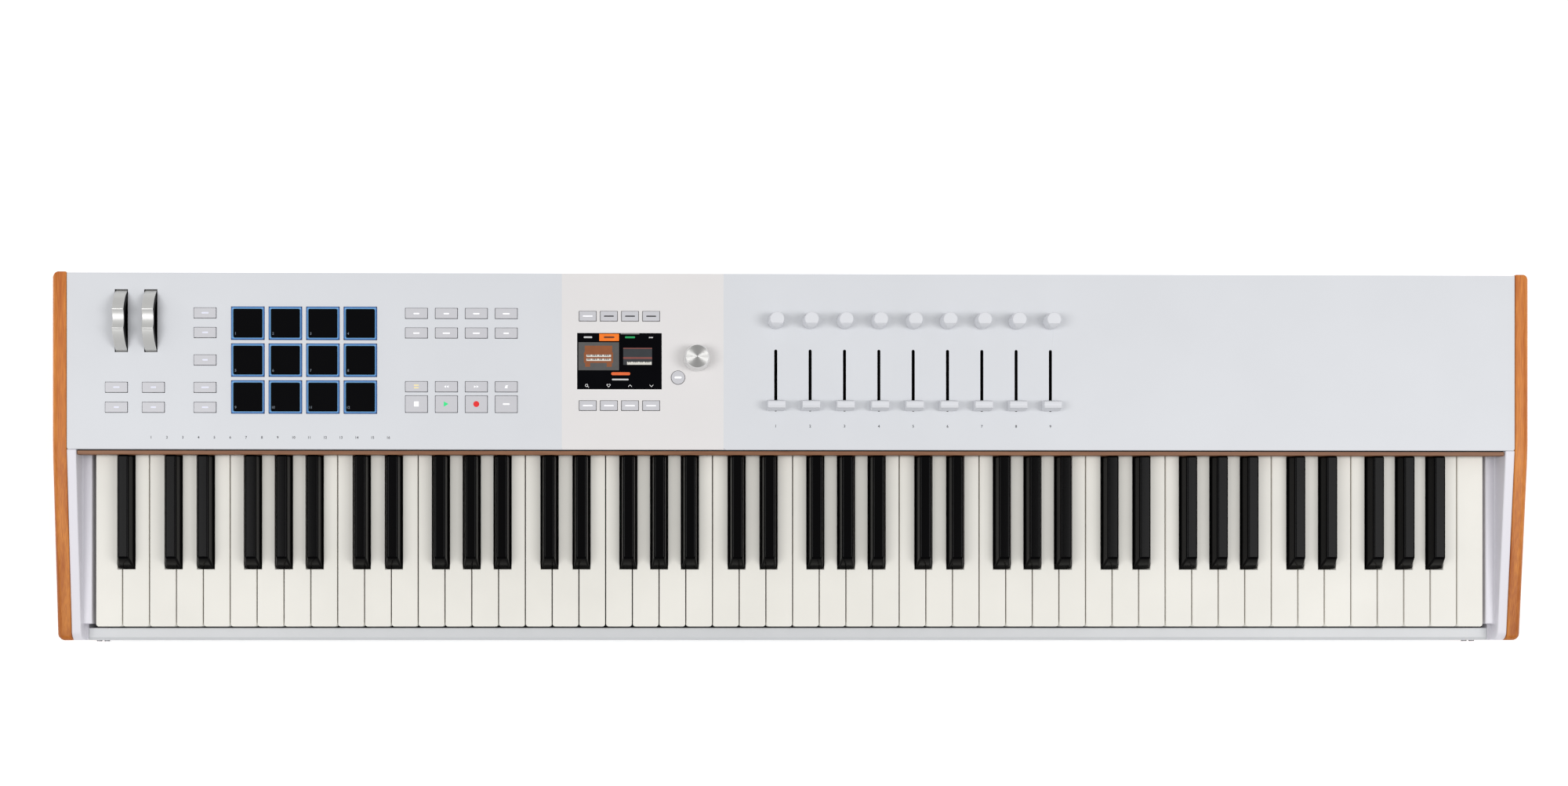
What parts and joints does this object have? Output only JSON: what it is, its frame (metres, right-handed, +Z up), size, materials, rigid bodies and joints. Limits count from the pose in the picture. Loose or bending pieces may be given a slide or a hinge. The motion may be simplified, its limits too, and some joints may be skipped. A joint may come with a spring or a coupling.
{
  "type": "synthesizer keyboard controller",
  "caption": "Piano-size keyboard controller: hinged white and black keys, thumb wheels, lit pads, sliding faders, dials, buttons and a small screen, with wooden end cheeks.",
  "frame": {"origin": "on the table, below the middle of the instrument", "axes": "+X runs to the treble end, +Y to the rear, +Z up"},
  "size_m": [1.29, 0.3224, 0.118],
  "materials": {
    "steel": "fine textured powder coat",
    "panel_white": "painted satin, slightly bluish white",
    "fascia_white": "matte, warm white",
    "wood": "oiled, fine straight grain",
    "block_white": "matte, very slightly lavender",
    "rail_grey": "painted satin, light grey",
    "hammer": "as cast",
    "board": "solder mask",
    "display": "gloss, lit",
    "lit_frame": "translucent, lit blue",
    "pad_rubber": "fine grained",
    "wheel_silver": "satin silver",
    "button": "translucent light grey, lit legend",
    "aluminium": "turned top",
    "shaft": "turned",
    "sensor": "moulded",
    "connector": "moulded",
    "foot_rubber": "matte",
    "screw": "plated",
    "key_white": "satin",
    "key_black": "satin, polished bevels",
    "knob_white": "satin"
  },
  "bodies": {
    "case": {"bottom_pan": "steel", "rear_panel": "steel", "top_cover": "panel_white", "center_fascia": "fascia_white", "wood_cheek_left": "wood", "wood_cheek_right": "wood", "end_block_left": "block_white", "end_block_right": "block_white", "front_rail": "rail_grey", "fallboard_strip": "wood", "keybed_frame": "steel", "key_hammers": "hammer", "circuit_boards": "board", "display_module": "display", "pad_frames": "lit_frame", "control_sensors": "sensor", "wheel_bracket": "steel", "rear_connectors": "connector", "rubber_feet": "foot_rubber", "screws": "screw"},
    "keys_a": {"keys_a": "key_white"},
    "keys_b": {"keys_b": "key_white"},
    "keys_c": {"keys_c": "key_white"},
    "keys_d": {"keys_d": "key_white"},
    "keys_e": {"keys_e": "key_white"},
    "keys_f": {"keys_f": "key_white"},
    "keys_g": {"keys_g": "key_white"},
    "keys_a_sharp": {"keys_a_sharp": "key_black"},
    "keys_c_sharp": {"keys_c_sharp": "key_black"},
    "keys_d_sharp": {"keys_d_sharp": "key_black"},
    "keys_f_sharp": {"keys_f_sharp": "key_black"},
    "keys_g_sharp": {"keys_g_sharp": "key_black"},
    "pitch_wheel": {"pitch_wheel": "wheel_silver"},
    "mod_wheel": {"mod_wheel": "wheel_silver"},
    "knob_1": {"knob_1": "knob_white"},
    "fader_1": {"fader_1": "knob_white"},
    "knob_2": {"knob_2": "knob_white"},
    "fader_2": {"fader_2": "knob_white"},
    "knob_3": {"knob_3": "knob_white"},
    "fader_3": {"fader_3": "knob_white"},
    "knob_4": {"knob_4": "knob_white"},
    "fader_4": {"fader_4": "knob_white"},
    "knob_5": {"knob_5": "knob_white"},
    "fader_5": {"fader_5": "knob_white"},
    "knob_6": {"knob_6": "knob_white"},
    "fader_6": {"fader_6": "knob_white"},
    "knob_7": {"knob_7": "knob_white"},
    "fader_7": {"fader_7": "knob_white"},
    "knob_8": {"knob_8": "knob_white"},
    "fader_8": {"fader_8": "knob_white"},
    "knob_9": {"knob_9": "knob_white"},
    "fader_9": {"fader_9": "knob_white"},
    "encoder_shaft": {"encoder_shaft": "shaft"},
    "encoder_knob": {"encoder_knob": "aluminium"},
    "drum_pads": {"drum_pads": "pad_rubber"},
    "wheel_buttons": {"wheel_buttons": "button"},
    "pad_buttons": {"pad_buttons": "button"},
    "daw_buttons": {"daw_buttons": "button"},
    "transport_buttons": {"transport_buttons": "button"},
    "display_buttons": {"display_buttons": "button"}
  },
  "joints": [
    {"name": "keys_a_press", "type": "hinge", "parent": "case", "child": "keys_a", "pos_m": [0, 0.077, 0.072], "axis": [1, 0, 0], "range_deg": [0, 2.55], "stiffness_Nm_per_rad": 4, "springref_deg": -17.19},
    {"name": "keys_b_press", "type": "hinge", "parent": "case", "child": "keys_b", "pos_m": [0, 0.077, 0.072], "axis": [1, 0, 0], "range_deg": [0, 2.55], "stiffness_Nm_per_rad": 4, "springref_deg": -17.19},
    {"name": "keys_c_press", "type": "hinge", "parent": "case", "child": "keys_c", "pos_m": [0, 0.077, 0.072], "axis": [1, 0, 0], "range_deg": [0, 2.55], "stiffness_Nm_per_rad": 4, "springref_deg": -17.19},
    {"name": "keys_d_press", "type": "hinge", "parent": "case", "child": "keys_d", "pos_m": [0, 0.077, 0.072], "axis": [1, 0, 0], "range_deg": [0, 2.55], "stiffness_Nm_per_rad": 4, "springref_deg": -17.19},
    {"name": "keys_e_press", "type": "hinge", "parent": "case", "child": "keys_e", "pos_m": [0, 0.077, 0.072], "axis": [1, 0, 0], "range_deg": [0, 2.55], "stiffness_Nm_per_rad": 4, "springref_deg": -17.19},
    {"name": "keys_f_press", "type": "hinge", "parent": "case", "child": "keys_f", "pos_m": [0, 0.077, 0.072], "axis": [1, 0, 0], "range_deg": [0, 2.55], "stiffness_Nm_per_rad": 4, "springref_deg": -17.19},
    {"name": "keys_g_press", "type": "hinge", "parent": "case", "child": "keys_g", "pos_m": [0, 0.077, 0.072], "axis": [1, 0, 0], "range_deg": [0, 2.55], "stiffness_Nm_per_rad": 4, "springref_deg": -17.19},
    {"name": "keys_a_sharp_press", "type": "hinge", "parent": "case", "child": "keys_a_sharp", "pos_m": [0, 0.077, 0.072], "axis": [1, 0, 0], "range_deg": [0, 2.55], "stiffness_Nm_per_rad": 4, "springref_deg": -17.19},
    {"name": "keys_c_sharp_press", "type": "hinge", "parent": "case", "child": "keys_c_sharp", "pos_m": [0, 0.077, 0.072], "axis": [1, 0, 0], "range_deg": [0, 2.55], "stiffness_Nm_per_rad": 4, "springref_deg": -17.19},
    {"name": "keys_d_sharp_press", "type": "hinge", "parent": "case", "child": "keys_d_sharp", "pos_m": [0, 0.077, 0.072], "axis": [1, 0, 0], "range_deg": [0, 2.55], "stiffness_Nm_per_rad": 4, "springref_deg": -17.19},
    {"name": "keys_f_sharp_press", "type": "hinge", "parent": "case", "child": "keys_f_sharp", "pos_m": [0, 0.077, 0.072], "axis": [1, 0, 0], "range_deg": [0, 2.55], "stiffness_Nm_per_rad": 4, "springref_deg": -17.19},
    {"name": "keys_g_sharp_press", "type": "hinge", "parent": "case", "child": "keys_g_sharp", "pos_m": [0, 0.077, 0.072], "axis": [1, 0, 0], "range_deg": [0, 2.55], "stiffness_Nm_per_rad": 4, "springref_deg": -17.19},
    {"name": "pitch_wheel_turn", "type": "hinge", "parent": "case", "child": "pitch_wheel", "pos_m": [-0.5845, 0.1174, 0.086], "axis": [-1, 0, 0], "range_deg": [-30, 30], "stiffness_Nm_per_rad": 0.04},
    {"name": "mod_wheel_turn", "type": "hinge", "parent": "case", "child": "mod_wheel", "pos_m": [-0.559, 0.1174, 0.086], "axis": [-1, 0, 0], "range_deg": [-30, 30]},
    {"name": "knob_1_turn", "type": "hinge", "parent": "case", "child": "knob_1", "pos_m": [-0.0162, 0.118, 0.103], "axis": [0, 0, 1], "continuous": true},
    {"name": "fader_1_slide", "type": "slide", "parent": "case", "child": "fader_1", "axis": [0, 1, 0], "range_m": [0, 0.045]},
    {"name": "knob_2_turn", "type": "hinge", "parent": "case", "child": "knob_2", "pos_m": [0.0138, 0.118, 0.103], "axis": [0, 0, 1], "continuous": true},
    {"name": "fader_2_slide", "type": "slide", "parent": "case", "child": "fader_2", "axis": [0, 1, 0], "range_m": [0, 0.045]},
    {"name": "knob_3_turn", "type": "hinge", "parent": "case", "child": "knob_3", "pos_m": [0.0438, 0.118, 0.103], "axis": [0, 0, 1], "continuous": true},
    {"name": "fader_3_slide", "type": "slide", "parent": "case", "child": "fader_3", "axis": [0, 1, 0], "range_m": [0, 0.045]},
    {"name": "knob_4_turn", "type": "hinge", "parent": "case", "child": "knob_4", "pos_m": [0.0738, 0.118, 0.103], "axis": [0, 0, 1], "continuous": true},
    {"name": "fader_4_slide", "type": "slide", "parent": "case", "child": "fader_4", "axis": [0, 1, 0], "range_m": [0, 0.045]},
    {"name": "knob_5_turn", "type": "hinge", "parent": "case", "child": "knob_5", "pos_m": [0.1038, 0.118, 0.103], "axis": [0, 0, 1], "continuous": true},
    {"name": "fader_5_slide", "type": "slide", "parent": "case", "child": "fader_5", "axis": [0, 1, 0], "range_m": [0, 0.045]},
    {"name": "knob_6_turn", "type": "hinge", "parent": "case", "child": "knob_6", "pos_m": [0.1338, 0.118, 0.103], "axis": [0, 0, 1], "continuous": true},
    {"name": "fader_6_slide", "type": "slide", "parent": "case", "child": "fader_6", "axis": [0, 1, 0], "range_m": [0, 0.045]},
    {"name": "knob_7_turn", "type": "hinge", "parent": "case", "child": "knob_7", "pos_m": [0.1638, 0.118, 0.103], "axis": [0, 0, 1], "continuous": true},
    {"name": "fader_7_slide", "type": "slide", "parent": "case", "child": "fader_7", "axis": [0, 1, 0], "range_m": [0, 0.045]},
    {"name": "knob_8_turn", "type": "hinge", "parent": "case", "child": "knob_8", "pos_m": [0.1938, 0.118, 0.103], "axis": [0, 0, 1], "continuous": true},
    {"name": "fader_8_slide", "type": "slide", "parent": "case", "child": "fader_8", "axis": [0, 1, 0], "range_m": [0, 0.045]},
    {"name": "knob_9_turn", "type": "hinge", "parent": "case", "child": "knob_9", "pos_m": [0.2238, 0.118, 0.103], "axis": [0, 0, 1], "continuous": true},
    {"name": "fader_9_slide", "type": "slide", "parent": "case", "child": "fader_9", "axis": [0, 1, 0], "range_m": [0, 0.045]},
    {"name": "encoder_push", "type": "slide", "parent": "case", "child": "encoder_shaft", "axis": [0, 0, -1], "range_m": [0, 0.0005], "stiffness_N_per_m": 800, "springref_m": -0.003},
    {"name": "encoder_turn", "type": "hinge", "parent": "encoder_shaft", "child": "encoder_knob", "pos_m": [-0.0851, 0.0856, 0.103], "axis": [0, 0, 1], "continuous": true},
    {"name": "drum_pads_press", "type": "slide", "parent": "case", "child": "drum_pads", "axis": [0, 0, -1], "range_m": [0, 0.001], "stiffness_N_per_m": 2000, "springref_m": -0.002},
    {"name": "wheel_buttons_press", "type": "slide", "parent": "case", "child": "wheel_buttons", "axis": [0, 0, -1], "range_m": [0, 0.0008], "stiffness_N_per_m": 500, "springref_m": -0.002},
    {"name": "pad_buttons_press", "type": "slide", "parent": "case", "child": "pad_buttons", "axis": [0, 0, -1], "range_m": [0, 0.0008], "stiffness_N_per_m": 500, "springref_m": -0.002},
    {"name": "daw_buttons_press", "type": "slide", "parent": "case", "child": "daw_buttons", "axis": [0, 0, -1], "range_m": [0, 0.0008], "stiffness_N_per_m": 500, "springref_m": -0.002},
    {"name": "transport_buttons_press", "type": "slide", "parent": "case", "child": "transport_buttons", "axis": [0, 0, -1], "range_m": [0, 0.0008], "stiffness_N_per_m": 500, "springref_m": -0.002},
    {"name": "display_buttons_press", "type": "slide", "parent": "case", "child": "display_buttons", "axis": [0, 0, -1], "range_m": [0, 0.0008], "stiffness_N_per_m": 500, "springref_m": -0.002}
  ]
}
